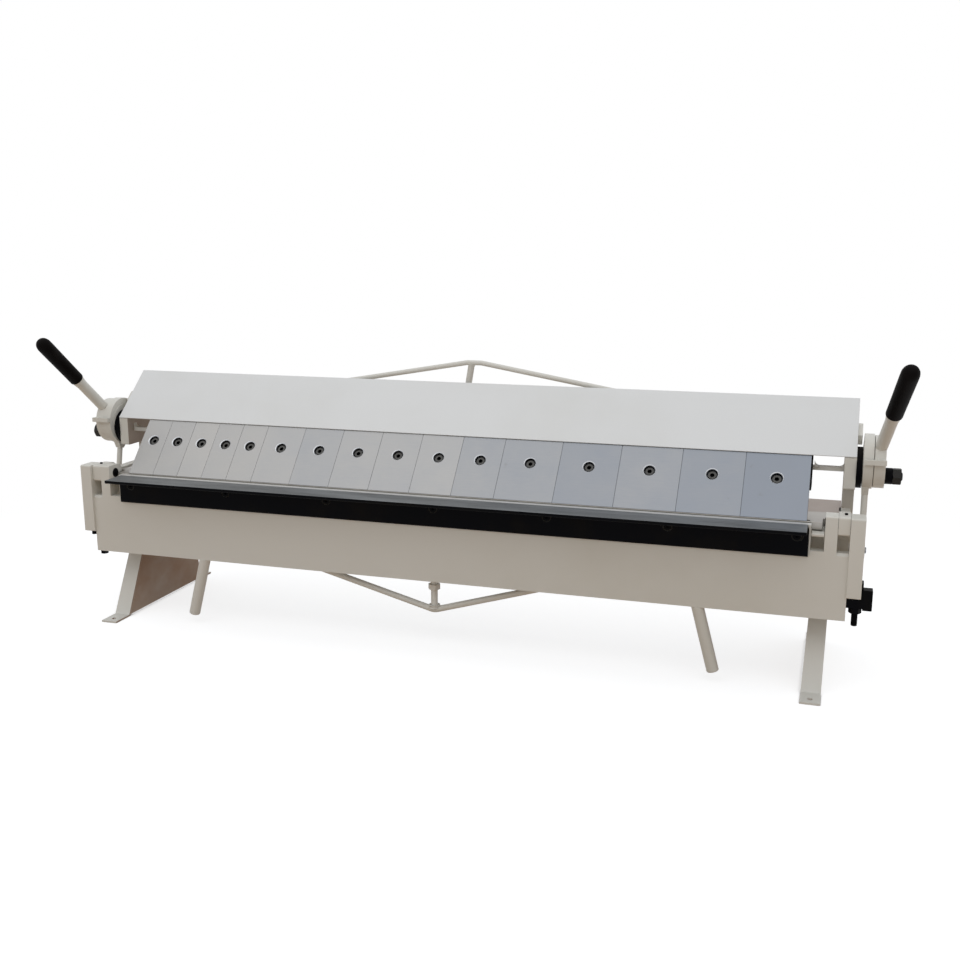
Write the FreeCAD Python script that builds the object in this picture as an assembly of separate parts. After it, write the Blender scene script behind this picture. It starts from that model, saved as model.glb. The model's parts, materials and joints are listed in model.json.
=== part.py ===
import FreeCAD, Part
import math
import os
from FreeCAD import Vector

# Bench folder for sheet metal with segmented fingers.
# X runs along the machine, the operator stands on the -Y side and Z is up.
# Everything is drawn about the hinge axis of the apron: Y = 0 and Z = 0 are that axis,
# and the top of the bed is Z = 0. The last step moves the origin to the middle of the
# four bench bolts. Left and right are the operator's.

inch = 25.4

# Fingers
finger_widths = [2 * inch] * 5 + [3 * inch] * 6 + [4 * inch] * 5
finger_lean = 48.5              # slope of the finger's front face, degrees from level
finger_length = 115.0           # up the front face
finger_thickness = 19.5
nose_setback = 2.0
nose_gap = 0.3                  # over the bed
seam = 0.3
finger_screw_up = 73.7          # up the front face
finger_screw_bore = 11.0
counterbore = 17.5
counterbore_depth = 11.0

# Bed
bed_ends = (-643.0, 656.0)
bed_front = 1.0
bed_back = 165.0
bed_thickness = 12.0
rail_half = 599.5
rail_bottom = -95.0

# Hinge of the apron
pin_radius = 8.35
bore_play = 0.05
tongue = (656.5, 674.0)
inner_ear = (637.5, 656.0)
outer_ear = (674.5, 696.0)
ear_top = 15.0
block_half = 600.0
block_bottom = -75.0

# Apron
apron_half = 675.0
apron_front = -19.0
ear_front = -24.0               # of the outer ears, which stand proud
apron_back = -1.0
apron_bottom = -149.0
notch = (617.0, 637.5)
notch_bottom = -41.0
slot_bottom = -42.0
ear_bottom = -111.0
angle_half = 612.0
angle_leg = 50.0
angle_thickness = 6.0
angle_screw_pitch = 197.6
angle_screw_z = -18.0

# Beam that carries the fingers
plate_x = (660.0, 678.0)
holder_half = 614.0
cover_half = 678.0
cover_foot = (75.0, 89.0)
cover_top = (170.0, 172.0)
cover_thickness = 4.0
back_plate_y = (172.0, 176.0)
flange_z = (95.0, 99.0)
beam_pivot = (200.0, -110.0)
journal_radius = 10.0

# Clamp: eccentric on the lever, strap round it, link down to the anchor
eccentric = (108.0, 80.0)
lever_pivot = (103.7, 58.4)
anchor = (80.0, -60.0)
ring_inner = 32.0
bolt_radius = 7.0
bolt_start = 664.0              # in the blind hole of the end plate
ring_outer = 44.0
strap_x = (688.0, 703.0)
hub_x = (704.0, 721.0)
hub_radius = 42.0
neck_x = (688.0, 699.0)
disc_centre = (108.0, 69.0)
disc_radius = 33.0
link_radius = 5.0
anchor_radius = 5.0
eye_bore = 8.0
eye_shift = (1.0, 2.1)
grip_root = Vector(725.5, 25.0, 168.0)
grip_end = Vector(742.5, -51.5, 248.0)
grip_radius = 13.0
shank_radius = 9.75

# Truss rods
apron_rod_radius = 5.5
apron_rod_y = 8.0
apron_rod_ends = (-570.0, -61.0), (530.0, -49.0)
apron_rod_apex = (-7.0, -208.0)
beam_rod_radius = 4.5
beam_rod_y = 183.0
beam_rod_ends = (-600.0, 103.0), (600.0, 110.0)
beam_rod_flat = (-2.0, 207.0), (24.0, 207.0)
beam_post = (-4.0, 148.0), (5.5, 204.5)
post_radius = 5.9
lug_reach = (12.0, 32.0, 12.0)  # from the rod's end to the lug's faces, and its half height
nut_height = 8.0

# Legs
sheet = 3.0
leg_x = (613.0, 650.0)
bench = -275.0
foot_hole = (631.0, 4.75)       # across the machine, and its radius
foot_holes_y = (-44.0, 256.0)

# Handles that fold the apron
handle_top = (449.0, -149.0)
handle_foot = (478.0, -257.0)
handle_radius = 10.0

row_origin = Vector(0, sum(foot_holes_y) / 2, bench)

face_up = Vector(0, math.cos(math.radians(finger_lean)), math.sin(math.radians(finger_lean)))
face_in = Vector(0, face_up.z, -face_up.y)
along_x = FreeCAD.Matrix(0, 0, 1, 0, 1, 0, 0, 0, 0, 1, 0, 0, 0, 0, 0, 1)
along_y = FreeCAD.Matrix(1, 0, 0, 0, 0, 0, -1, 0, 0, 1, 0, 0, 0, 0, 0, 1)
bodies = {}


def flat_outline(corners):
    # A closed outline through (u, v) or (u, v, radius) corners, with tangent arcs.
    stretches = []
    for index, corner in enumerate(corners):
        here = Vector(corner[0], corner[1], 0)
        if len(corner) < 3:
            stretches.append((here, None, here))
            continue
        before = Vector(*corners[index - 1][:2], 0) - here
        after = Vector(*corners[(index + 1) % len(corners)][:2], 0) - here
        before.normalize()
        after.normalize()
        half = before.getAngle(after) / 2
        reach = corner[2] / math.tan(half)
        inward = (before + after).normalize()
        middle = here + inward * (corner[2] / math.sin(half) - corner[2])
        stretches.append((here + before * reach, middle, here + after * reach))
    edges = []
    for index, (start, middle, end) in enumerate(stretches):
        if middle:
            edges.append(Part.Arc(start, middle, end).toShape())
        following = stretches[(index + 1) % len(stretches)][0]
        if following.distanceToPoint(end) > 1e-6:
            edges.append(Part.LineSegment(end, following).toShape())
    return Part.Face(Part.Wire(edges))


def profile_x(corners, low, high):
    # A prism along X from an outline in (Y, Z).
    face = flat_outline(corners)
    face.translate(Vector(0, 0, low))
    solid = face.extrude(Vector(0, 0, high - low))
    solid.Placement = FreeCAD.Placement(along_x).multiply(solid.Placement)
    return solid


def profile_y(corners, low, high):
    # A prism along Y from an outline in (X, Z).
    face = flat_outline(corners)
    face.translate(Vector(0, 0, -high))
    solid = face.extrude(Vector(0, 0, high - low))
    solid.Placement = FreeCAD.Placement(along_y).multiply(solid.Placement)
    return solid


def box(x_range, y_range, z_range):
    size = [high - low for low, high in (x_range, y_range, z_range)]
    return Part.makeBox(*size, Vector(x_range[0], y_range[0], z_range[0]))


def round_bar(start, end, radius):
    return Part.makeCylinder(radius, (end - start).Length, start, end - start)


def bar_x(low, high, centre, radius):
    return Part.makeCylinder(radius, high - low, Vector(low, *centre), Vector(1, 0, 0))


def hexagon(start, direction, across_flats, height):
    radius = across_flats / math.sqrt(3)
    turn = FreeCAD.Rotation(Vector(0, 0, 1), direction)
    points = []
    for step in range(6):
        angle = step * math.pi / 3
        points.append(start + turn.multVec(Vector(math.cos(angle), math.sin(angle), 0) * radius))
    face = Part.Face(Part.makePolygon(points + points[:1]))
    return face.extrude(direction.normalize() * height)


def bent_bar(points, radius, bend):
    # A round bar through the points, which lie in one plane, bent to a radius.
    edges = []
    start = points[0]
    for index in range(1, len(points) - 1):
        here = points[index]
        back = (points[index - 1] - here).normalize()
        ahead = (points[index + 1] - here).normalize()
        half = back.getAngle(ahead) / 2
        reach = bend / math.tan(half)
        inward = (back + ahead).normalize()
        middle = here + inward * (bend / math.sin(half) - bend)
        edges.append(Part.LineSegment(start, here + back * reach).toShape())
        edges.append(Part.Arc(here + back * reach, middle, here + ahead * reach).toShape())
        start = here + ahead * reach
    edges.append(Part.LineSegment(start, points[-1]).toShape())
    end_circle = Part.Circle(points[0], points[1] - points[0], radius).toShape()
    return Part.Wire(edges).makePipeShell([Part.Wire([end_circle])], True, False)


def strip_outline(path, thickness):
    # The outline of bent sheet: the path is one skin, the other lies to its right.
    inner = []
    for index, here in enumerate(path):
        here = Vector(*here, 0)
        normals = []
        for first, second in ((index - 1, index), (index, index + 1)):
            if first < 0 or second >= len(path):
                continue
            run = Vector(*path[second], 0) - Vector(*path[first], 0)
            normals.append(Vector(run.y, -run.x, 0).normalize())
        mean = sum(normals[1:], normals[0]).normalize()
        inner.append(here + mean * (thickness / mean.dot(normals[0])))
    return list(path) + [(point.x, point.y) for point in reversed(inner)]


def mirrored(shape):
    return shape.mirror(Vector(0, 0, 0), Vector(1, 0, 0))


def node(name, *solids):
    shape = solids[0] if len(solids) == 1 else Part.makeCompound(solids)
    shape = shape.copy()
    shape.translate(row_origin * -1)
    for solid in shape.Solids:
        if not solid.isValid():
            raise ValueError(name + " has a bad solid")
    shape.exportStep(os.path.join("parts", name + ".step"))
    bodies[name] = shape


def pair(name, solid):
    # The same piece at both ends, each in its own node.
    node(name + "_right", solid)
    node(name + "_left", mirrored(solid))


def both_ends(name, *solids):
    # Identical fittings at both ends, in one node.
    node(name, *solids, *[mirrored(solid) for solid in solids])


def cap_screw(seat, direction, head_radius, head_height, thread_radius, length):
    # seat is the middle of the head's underside, direction points down the shank.
    axis = Vector(direction).normalize()
    head = Part.makeCylinder(head_radius, head_height, seat - axis * head_height, axis)
    return head.fuse(Part.makeCylinder(thread_radius, length, seat, axis)).removeSplitter()


def hex_bolt(seat, direction, across_flats, head_height, thread_radius, length):
    axis = Vector(direction).normalize()
    head = hexagon(seat, axis * -1, across_flats, head_height)
    return head.fuse(Part.makeCylinder(thread_radius, length, seat, axis)).removeSplitter()


def hex_nut(start, direction, across_flats, height, bore_radius):
    axis = Vector(direction).normalize()
    return hexagon(start, Vector(axis), across_flats, height).cut(
        Part.makeCylinder(bore_radius, height, start, axis))


def rod_points(y, *places):
    return [Vector(x, y, z) for x, z in places]


# Fingers

def finger_outline():
    nose = Vector(0, nose_setback, nose_gap)
    top_front = nose + face_up * finger_length
    top_back = top_front + face_in * finger_thickness
    heel = nose_setback + finger_thickness / math.sin(math.radians(finger_lean))
    return [
        (nose.y, nose.z, 0.8),
        (top_front.y, top_front.z, 1.5),
        (top_back.y, top_back.z),
        (heel, nose_gap),
    ]


def finger_screw_place(x):
    return Vector(x, nose_setback, nose_gap) + face_up * finger_screw_up


def make_finger(low, high):
    finger = profile_x(finger_outline(), low + seam / 2, high - seam / 2)
    start = finger_screw_place((low + high) / 2)
    sunk = Part.makeCylinder(counterbore / 2, counterbore_depth, start, face_in)
    through = Part.makeCylinder(finger_screw_bore / 2, finger_thickness + 5, start, face_in)
    return finger.cut(sunk.fuse(through))


def make_fingers():
    low = -sum(finger_widths) / 2
    screws = []
    holes = []
    for number, width in enumerate(finger_widths, 1):
        node("finger_%02d" % number, make_finger(low, low + width))
        seat = finger_screw_place(low + width / 2) + face_in * counterbore_depth
        screws.append(cap_screw(seat, face_in, 8.0, 9.5, 5.0, 32.0))
        holes.append(Part.makeCylinder(5.1, 36.0, seat, face_in))
        low += width
    node("finger_screws", *screws)
    return holes


def make_holder(holes):
    # A wedge section bar behind the fingers, tapped for their screws.
    back = Vector(0, nose_setback, nose_gap) + face_in * finger_thickness
    low = back + face_up * ((36.0 - back.z) / face_up.z)
    high = back + face_up * finger_length
    outline = [
        (low.y, low.z, 1.0),
        (high.y, high.z),
        (high.y, flange_z[0]),
        (100.0, flange_z[0]),
        (100.0, low.z, 2.0),
    ]
    bar = profile_x(outline, -holder_half, holder_half)
    return bar.cut(Part.makeCompound(holes))


# Beam

def cover_line(y, below=0.0):
    # Height of the cover's top skin, or of a level below it, at a place y.
    rise = (cover_top[1] - cover_foot[1]) / (cover_top[0] - cover_foot[0])
    return cover_foot[1] + rise * (y - cover_foot[0]) - below * math.hypot(1, rise)


def make_cover():
    return profile_x(strip_outline([cover_foot, cover_top], cover_thickness), -cover_half, cover_half)


def make_back_plate():
    # Folded plate behind the cover, its foot on the finger holder.
    top = cover_top[1] - cover_thickness
    outline = [
        (94.0, flange_z[0]),
        (94.0, flange_z[1]),
        (back_plate_y[0], flange_z[1], 3.0),
        (back_plate_y[0], top),
        (back_plate_y[1], top),
        (back_plate_y[1], flange_z[0], 7.0),
    ]
    return profile_x(outline, -plate_x[0], plate_x[0])


def make_end_plate():
    # The swing arm: it carries the beam and turns on the pivot behind the leg.
    outline = [
        (80.0, 37.0, 3.0),
        (80.0, cover_line(80.0, cover_thickness)),
        (168.0, cover_line(168.0, cover_thickness)),
        (184.0, 150.0, 16.0),
        (225.0, -95.0, 30.0),
        (220.0, -136.0, 20.0),
        (184.0, -136.0, 20.0),
        (174.0, -105.0, 30.0),
        (138.0, -10.0, 40.0),
        (138.0, 37.0, 6.0),
    ]
    arm = profile_x(outline, *plate_x)
    stop_lug = profile_x([(118, 104), (118, 119), (135, 134, 5), (150, 134, 3), (150, 104)],
                         plate_x[1], 685.0)
    boss = bar_x(plate_x[1], 682.0, beam_pivot, 20.0)
    pivot_bore = bar_x(plate_x[0], 682.0, beam_pivot, journal_radius + bore_play)
    bolt_bore = bar_x(bolt_start, plate_x[1], lever_pivot, bolt_radius + 0.1)
    return arm.fuse([stop_lug, boss]).cut([pivot_bore, bolt_bore])


def make_tie_bar():
    # A flat across the beam, its ends and the holder's ends joined to it by hollow fillets.
    top = 69.0
    size = 8.0
    bar = box((-plate_x[0], plate_x[0]), (100.0, 110.0), (62.0, top))
    end_web = box((plate_x[0] - size, plate_x[0]), (100.0, 110.0), (top, top + size))
    end_web = end_web.cut(round_bar(Vector(plate_x[0] - size, 90, top + size),
                                    Vector(plate_x[0] - size, 120, top + size), size))
    weld = box((holder_half, holder_half + size), (94.0, 110.0), (top, top + size))
    weld = weld.cut(round_bar(Vector(holder_half + size, 90, top + size),
                              Vector(holder_half + size, 120, top + size), size))
    webs = [end_web, weld]
    return bar.fuse(webs + [mirrored(web) for web in webs])


def beam_rod(radius):
    points = rod_points(beam_rod_y, beam_rod_ends[0], *beam_rod_flat, beam_rod_ends[1])
    return bent_bar(points, radius, 18.0)


def make_post(foot, top, flare, flare_length):
    # A round post that widens where it is welded to the truss rod.
    along = (top - foot).normalize()
    weld = Part.makeCone(post_radius, post_radius + flare, flare_length, top - along * flare_length, along)
    return round_bar(foot, top - along * flare_length, post_radius).fuse(weld)


def rod_run(end, inner):
    # Where a truss rod starts, its direction from there and the direction across it.
    along = Vector(inner[0] - end[0], 0, inner[1] - end[1]).normalize()
    return Vector(end[0], 0, end[1]), along, Vector(-along.z, 0, along.x)


def rod_lug(end, inner, y_range):
    # A lug square to the rod, for the nut at its end to pull on.
    start, along, across = rod_run(end, inner)
    near, far, half = lug_reach
    corners = [start + along * near + across * half, start + along * far + across * half,
               start + along * far - across * half, start + along * near - across * half]
    return profile_y([(corner.x, corner.z) for corner in corners], *y_range)


def post_and_lugs(post, foot, top, rod, end_lugs, post_lug):
    # The post of a truss and the lugs that are welded on for it and for the rod's ends.
    hole = round_bar(foot, top, post_radius + 0.1)
    return [post.cut(rod), post_lug.cut(hole), *[lug.cut(rod) for lug in end_lugs]]


def end_nuts(y, ends, inner_ends, across_flats, bore_radius):
    # A nut at each end of a truss rod, seated on its lug.
    nuts = []
    for end, inner in zip(ends, inner_ends):
        start, along, across = rod_run(end, inner)
        seat = start + along * (lug_reach[0] - nut_height) + Vector(0, y, 0)
        nuts.append(hex_nut(seat, along, across_flats, nut_height, bore_radius))
    return nuts


def make_beam():
    node("finger_holder", make_holder(make_fingers()))
    node("cover_plate", make_cover())
    node("back_plate", make_back_plate())
    node("tie_bar", make_tie_bar())
    pair("end_plate", make_end_plate())
    node("beam_truss_rod", beam_rod(beam_rod_radius))
    nuts = end_nuts(beam_rod_y, beam_rod_ends, beam_rod_flat, 13.0, beam_rod_radius + 0.1)
    node("beam_truss_nuts", *nuts)
    foot, top = rod_points(beam_rod_y, *beam_post)
    lug_y = (back_plate_y[1], beam_rod_y + 7.0)
    end_lugs = [rod_lug(end, inner, lug_y) for end, inner in zip(beam_rod_ends, beam_rod_flat)]
    post_lug = box((foot.x - 12, foot.x + 15), lug_y, (138.0, 166.0))
    post = make_post(foot, top, 1.6, 4.0)
    node("beam_truss_post", *post_and_lugs(post, foot, top, beam_rod(beam_rod_radius + 0.1), end_lugs,
                                           post_lug))


# Clamp levers and straps

def make_lever():
    # Hub with the eccentric journal on its inner side, stop tab and leaning shank.
    hub = bar_x(*hub_x, eccentric, hub_radius)
    journal = bar_x(strap_x[0] - 0.7, hub_x[0], eccentric, ring_inner - bore_play)
    direction = (grip_end - grip_root).normalize()
    root = grip_root - direction * 84.0
    shank = round_bar(root, grip_root + direction * 60.0, shank_radius)
    collar = Part.makeCone(shank_radius, grip_radius - 1.4, 14.0, grip_root - direction * 14.2, direction)
    shank = shank.fuse(collar).cut(box((670, hub_x[0]), (-60, 200), (0, 300)))
    tab_front = eccentric[0] - ring_outer - 8.0
    tab_back = eccentric[0] - ring_outer - 1.0
    tab_z = (eccentric[1] + 3, eccentric[1] + 11)
    tab = box((strap_x[0], hub_x[1] + 1), (tab_front, tab_back), tab_z)
    web = box(hub_x, (tab_front, eccentric[0] - hub_radius + 4), tab_z)
    bore = bar_x(strap_x[0] - 1, hub_x[1], lever_pivot, bolt_radius + bore_play)
    return hub.fuse([journal, shank, tab, web]).cut(bore).removeSplitter()


def make_grip():
    # Moulded sleeve with a domed end, a bore for the shank and shallow rings.
    direction = (grip_end - grip_root).normalize()
    length = (grip_end - grip_root).Length
    section = [
        (shank_radius + 0.05, 0.0),
        (grip_radius - 1.2, 0.0),
        (grip_radius, 1.2),
        (grip_radius, length * 0.3),
        (grip_radius + 0.6, length * 0.7),
        (grip_radius + 0.6, length, 9.0),
        (0.0, length),
        (0.0, 60.05),
        (shank_radius + 0.05, 60.05),
    ]
    face = flat_outline([(r, z, *rest) for r, z, *rest in section])
    face.rotate(Vector(), Vector(1, 0, 0), 90)
    grip = face.revolve(Vector(), Vector(0, 0, 1), 360)
    turn = FreeCAD.Rotation(Vector(0, 0, 1), direction)
    grip.Placement = FreeCAD.Placement(grip_root, turn).multiply(grip.Placement)
    return grip


def link_direction():
    return Vector(0, anchor[0] - eccentric[0], anchor[1] - eccentric[1]).normalize()


def make_strap():
    # Ring round the eccentric, neck, round link and an eye with room to swing on its pin.
    down = link_direction()
    side = Vector(0, down.z, -down.y)
    link_x = sum(neck_x) / 2
    neck_thickness = neck_x[1] - neck_x[0]
    ring_middle = Vector(neck_x[0], *eccentric)
    corners = [ring_middle + down * 30.0 - side * 19.0,
               ring_middle + down * 54.0 - side * 9.0,
               ring_middle + down * 54.0 + side * 9.0,
               ring_middle + down * 30.0 + side * 19.0]
    neck = Part.Face(Part.makePolygon(corners + corners[:1])).extrude(Vector(neck_thickness, 0, 0))
    link = round_bar(Vector(link_x, *eccentric) + down * 48.0, Vector(link_x, *anchor) - down * 11.0,
                     link_radius)
    eye = bar_x(*neck_x, anchor, 14.0)
    shift = down * eye_shift[0] + side * eye_shift[1]
    hole = bar_x(neck_x[0] - 1, neck_x[1] + 1, (anchor[0] + shift.y, anchor[1] + shift.z), eye_bore)
    bore = bar_x(strap_x[0] - 1, strap_x[1] + 1, eccentric, ring_inner)
    ring = bar_x(*strap_x, eccentric, ring_outer).fuse(neck)
    return ring.fuse(link).fuse(eye).cut(bore).cut(hole)


def make_clamps():
    pair("clamp_lever", make_lever())
    pair("lever_grip", make_grip())
    pair("link_strap", make_strap())
    disc = bar_x(plate_x[1], strap_x[0] - 1, disc_centre, disc_radius)
    disc = disc.cut(bar_x(plate_x[1], strap_x[0] - 1, lever_pivot, bolt_radius + 0.1))
    both_ends("spacer_discs", disc)
    bolt = bar_x(bolt_start, 733.0, lever_pivot, bolt_radius)
    bolt = bolt.fuse(bar_x(hub_x[1] + 0.3, 733.0, lever_pivot, 13.0))
    bolt = bolt.fuse(hexagon(Vector(733.0, *lever_pivot), Vector(1, 0, 0), 24.0, 15.0))
    both_ends("pivot_bolts", bolt.removeSplitter())


# Apron

def ear_outline(front, bottom, heel):
    # heel is the level of the ear's lowest point behind the hinge.
    return [
        (front, bottom, 2.0),
        (front, ear_top, 3.0),
        (20.0, ear_top, 12.0),
        (20.0, heel, 14.0),
        (apron_back, heel - 30.0, 16.0),
        (apron_back, bottom),
    ]


def apron_rod(radius):
    points = rod_points(apron_rod_y, apron_rod_ends[0], apron_rod_apex, apron_rod_ends[1])
    return bent_bar(points, radius, 22.0)


def make_leaf():
    leaf = box((-apron_half, apron_half), (apron_front, apron_back), (apron_bottom, 0))
    for side in (1, -1):
        cuts = [box((notch[0], notch[1]), (-30, 10), (notch_bottom, 20)),
                box((inner_ear[1], outer_ear[0]), (-30, 10), (slot_bottom, 20)),
                box((notch[1], outer_ear[0] + 10), (-30, 10), (-0.5, 20))]
        lip = [(apron_front - 1, slot_bottom - 4.5), (apron_front - 1, slot_bottom + 1),
               (apron_front + 5.5, slot_bottom + 1)]
        cuts.append(profile_x(lip, inner_ear[1], outer_ear[0]))
        ears = [profile_x(ear_outline(apron_front, -60.0, -14.0), *inner_ear),
                profile_x(ear_outline(ear_front, ear_bottom, -34.0), *outer_ear)]
        if side < 0:
            cuts = [mirrored(cut) for cut in cuts]
            ears = [mirrored(ear) for ear in ears]
        leaf = leaf.cut(cuts).fuse(ears)
    cuts = [bar_x(-outer_ear[1], outer_ear[1], (0, 0), pin_radius + bore_play)]
    for x in angle_screw_places():
        cuts.append(round_bar(Vector(x, apron_front, angle_screw_z), Vector(x, -5, angle_screw_z), 4.0))
    for side in (1, -1):
        start, end = handle_spigot(side)
        cuts.append(round_bar(start, end, 6.0))
    cuts.append(round_bar(Vector(-666, -10, apron_bottom), Vector(-666, -10, -128), 4.0))
    cuts.append(round_bar(Vector(-686, -10, ear_bottom), Vector(-686, -10, -95), 4.75))
    return leaf.cut(cuts).removeSplitter()


def angle_screw_places():
    return [(number - 3) * angle_screw_pitch + 3.8 for number in range(7)]


def make_angle():
    low = apron_front - angle_thickness
    outline = [
        (apron_front, 0.0, 0.5),
        (apron_front - angle_leg, 0.0, 0.8),
        (apron_front - angle_leg, -angle_thickness, 3.0),
        (low, -angle_thickness, 6.0),
        (low, -angle_leg, 3.0),
        (apron_front, -angle_leg, 0.5),
    ]
    bar = profile_x(outline, -angle_half, angle_half)
    sinks = [Part.makeCone(8.0, 4.0, 5.0, Vector(x, low, angle_screw_z), Vector(0, 1, 0))
             for x in angle_screw_places()]
    shanks = [round_bar(Vector(x, low, angle_screw_z), Vector(x, apron_front, angle_screw_z), 4.0)
              for x in angle_screw_places()]
    return bar.cut(sinks + shanks)


def make_angle_screws():
    screws = []
    for x in angle_screw_places():
        start = Vector(x, apron_front - angle_thickness + 0.2, angle_screw_z)
        head = Part.makeCone(7.8, 3.95, 4.8, start, Vector(0, 1, 0))
        shank = round_bar(start, start + Vector(0, 18, 0), 3.95)
        screws.append(head.fuse(shank))
    return screws


def handle_spigot(side):
    run = Vector(side * (handle_top[0] - handle_foot[0]), 0, handle_top[1] - handle_foot[1])
    start = Vector(side * handle_top[0], -10.0, handle_top[1])
    return start - run.normalize() * 4.0, start + run.normalize() * 26.0


def make_bend_handle():
    # Plain bar with a smaller threaded end in the apron's lower edge.
    foot = Vector(handle_foot[0], -10.0, handle_foot[1])
    top = Vector(handle_top[0], -10.0, handle_top[1])
    run = (top - foot).normalize()
    bar = round_bar(foot, top + run * 12.0, handle_radius)
    bar = bar.cut(box((400, 500), (-40, 20), (apron_bottom, apron_bottom + 40)))
    bar = bar.makeChamfer(1.2, [edge for edge in bar.Edges if edge.BoundBox.ZMax < handle_foot[1] + 6
                                and edge.Length > 50])
    start, end = handle_spigot(1)
    return bar.fuse(round_bar(start, end - run * 0.5, 5.95)).removeSplitter()


def make_fold_stop():
    # Stop under the right ear: stepped block, screw and lock nut.
    under_bottom = -127.0
    outline = [
        (apron_half, ear_bottom),
        (outer_ear[1], ear_bottom),
        (outer_ear[1], -86.0),
        (outer_ear[1] + 3.0, -86.0),
        (outer_ear[1] + 3.0, -97.0),
        (713.0, -97.0, 1.5),
        (713.0, -129.5, 1.5),
        (outer_ear[1] + 3.0, -129.5),
        (outer_ear[1] + 3.0, under_bottom),
        (apron_half, under_bottom),
    ]
    block = profile_y(outline, -19.0, -2.0)
    centre = Vector(688.5, -10.0, -157.0)
    bore = Part.makeCylinder(5.0, 60.0, centre, Vector(0, 0, 1))
    screw = Part.makeCylinder(4.95, 45.0, centre, Vector(0, 0, 1))
    nut = hex_nut(Vector(centre.x, centre.y, under_bottom - 9.5), Vector(0, 0, 1), 17.0, 9.5, 5.0)
    node("fold_stop_block", block.cut(bore))
    node("fold_stop_screw", screw)
    node("fold_stop_nut", nut)


def make_apron():
    node("apron_leaf", make_leaf())
    node("angle_bar", make_angle())
    node("angle_bar_screws", *make_angle_screws())
    node("apron_truss_rod", apron_rod(apron_rod_radius))
    apex_x, apex_z = apron_rod_apex
    foot = Vector(apex_x, apron_rod_y, -130.0)
    end = Vector(apex_x, apron_rod_y, apex_z + 3.5)
    post = make_post(foot, end, 3.6, 8.0)
    lug_y = (apron_back, apron_rod_y + 8.0)
    end_lugs = [rod_lug(place, apron_rod_apex, lug_y) for place in apron_rod_ends]
    post_lug = box((apex_x - 13, apex_x + 13), lug_y, (apron_bottom, -123.0))
    node("apron_truss_post", *post_and_lugs(post, foot, end, apron_rod(apron_rod_radius + 0.1), end_lugs,
                                            post_lug))
    nuts = end_nuts(apron_rod_y, apron_rod_ends, (apron_rod_apex,) * 2, 17.0, apron_rod_radius + 0.1)
    post_nut = hex_nut(Vector(apex_x, apron_rod_y, -170.0), Vector(0, 0, 1), 19.0, 10.0, post_radius + 0.1)
    node("apron_truss_nuts", *nuts, post_nut)
    pair("bend_handle", make_bend_handle())
    make_fold_stop()
    ear_screw = Part.makeCylinder(4.7, 24.0, Vector(-686, -10, -120), Vector(0, 0, 1))
    edge_screw = hex_bolt(Vector(-666, -10, apron_bottom), Vector(0, 0, 1), 13.0, 7.0, 3.95, 20.0)
    node("ear_screws", ear_screw, edge_screw)


# Base: bed, hinge blocks and legs

def make_bed():
    outline = [
        (bed_front, 0.0, 0.6),
        (bed_back, 0.0, 1.0),
        (bed_back, -bed_thickness, 1.0),
        (bed_front, -bed_thickness, 0.6),
    ]
    plate = profile_x(outline, *bed_ends)
    cuts = []
    for side in (1, -1):
        ends = sorted((side * 633.0, side * 660.0))
        cuts.append(box(ends, (bed_front - 1, 27.5), (-20, 5)))
        cuts.append(round_bar(Vector(side * 611, 9, -8), Vector(side * 611, 9, 1), 3.5))
        for x, y in block_bolt_places():
            cuts.append(round_bar(Vector(side * x, y, -13), Vector(side * x, y, -4), 5.1))
    return plate.cut(cuts)


def block_bolt_places():
    return [(626.0, 52.0), (634.0, 112.0), (634.0, 145.0)]


def make_hinge_block():
    # Casting under the end of the bed, with a shelf and the tongue of the hinge.
    body = profile_x([(27.5, -bed_thickness), (27.5, block_bottom, 6), (bed_back, block_bottom, 3),
                      (bed_back, -bed_thickness)], block_half, tongue[0])
    shelf = profile_x([(-18, -14, 1), (32, -14), (32, -18.5), (-18, -18.5, 1)], 618.0, 636.5)
    reach = 115.0
    arm = profile_x([(-18, ear_top, 4), (22, ear_top, 10), (44, 0, 10), (reach, 0, 4),
                     (reach, block_bottom, 6), (27.5, block_bottom, 8), (27.5, -30, 8), (14, -15, 10),
                     (-18, -15, 4)], *tongue)
    cuts = [bar_x(tongue[0] - 1, tongue[1] + 1, (0, 0), pin_radius + 0.02),
            bar_x(tongue[0] - 5, tongue[1] + 1, anchor, anchor_radius + 0.02),
            round_bar(Vector(667, 0, 8), Vector(667, 0, 16), 2.5)]
    for x, y in block_bolt_places():
        cuts.append(round_bar(Vector(x, y, block_bottom - 1), Vector(x, y, -11), 5.1))
    return body.fuse([shelf, arm]).cut(cuts).removeSplitter()


def make_leg():
    # Pressed sheet: side plate with flanges turned outward and a foot tab at each end.
    path = [(-60.0, bench + sheet), (-17.9, bench + sheet), (93.0, block_bottom),
            (226.0, block_bottom), (236.0, bench + sheet), (277.0, bench + sheet)]
    foot_bends = (1, 4)
    rounded = []
    for index, (y, z) in enumerate(strip_outline(path, sheet)):
        on_path = index < len(path)
        bend = index if on_path else 2 * len(path) - 1 - index
        if bend in (0, len(path) - 1):
            rounded.append((y, z))
        else:
            rounded.append((y, z, 3.0 if on_path == (bend in foot_bends) else 6.0))
    flanges = profile_x(rounded, *leg_x)
    side_plate = profile_x([(-14.0, bench + sheet), (96.0, block_bottom - 1), (223.0, block_bottom - 1),
                            (233.0, bench + sheet)], leg_x[0], leg_x[0] + sheet)
    cuts = [bar_x(leg_x[0] - 1, leg_x[0] + sheet + 1, beam_pivot, 7.1)]
    for y in foot_holes_y:
        cuts.append(Part.makeCylinder(foot_hole[1], 10, Vector(foot_hole[0], y, bench - 1)))
    for x, y in block_bolt_places():
        cuts.append(Part.makeCylinder(5.1, 8, Vector(x, y, block_bottom - sheet - 2)))
    return flanges.fuse(side_plate).cut(cuts).removeSplitter()


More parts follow.
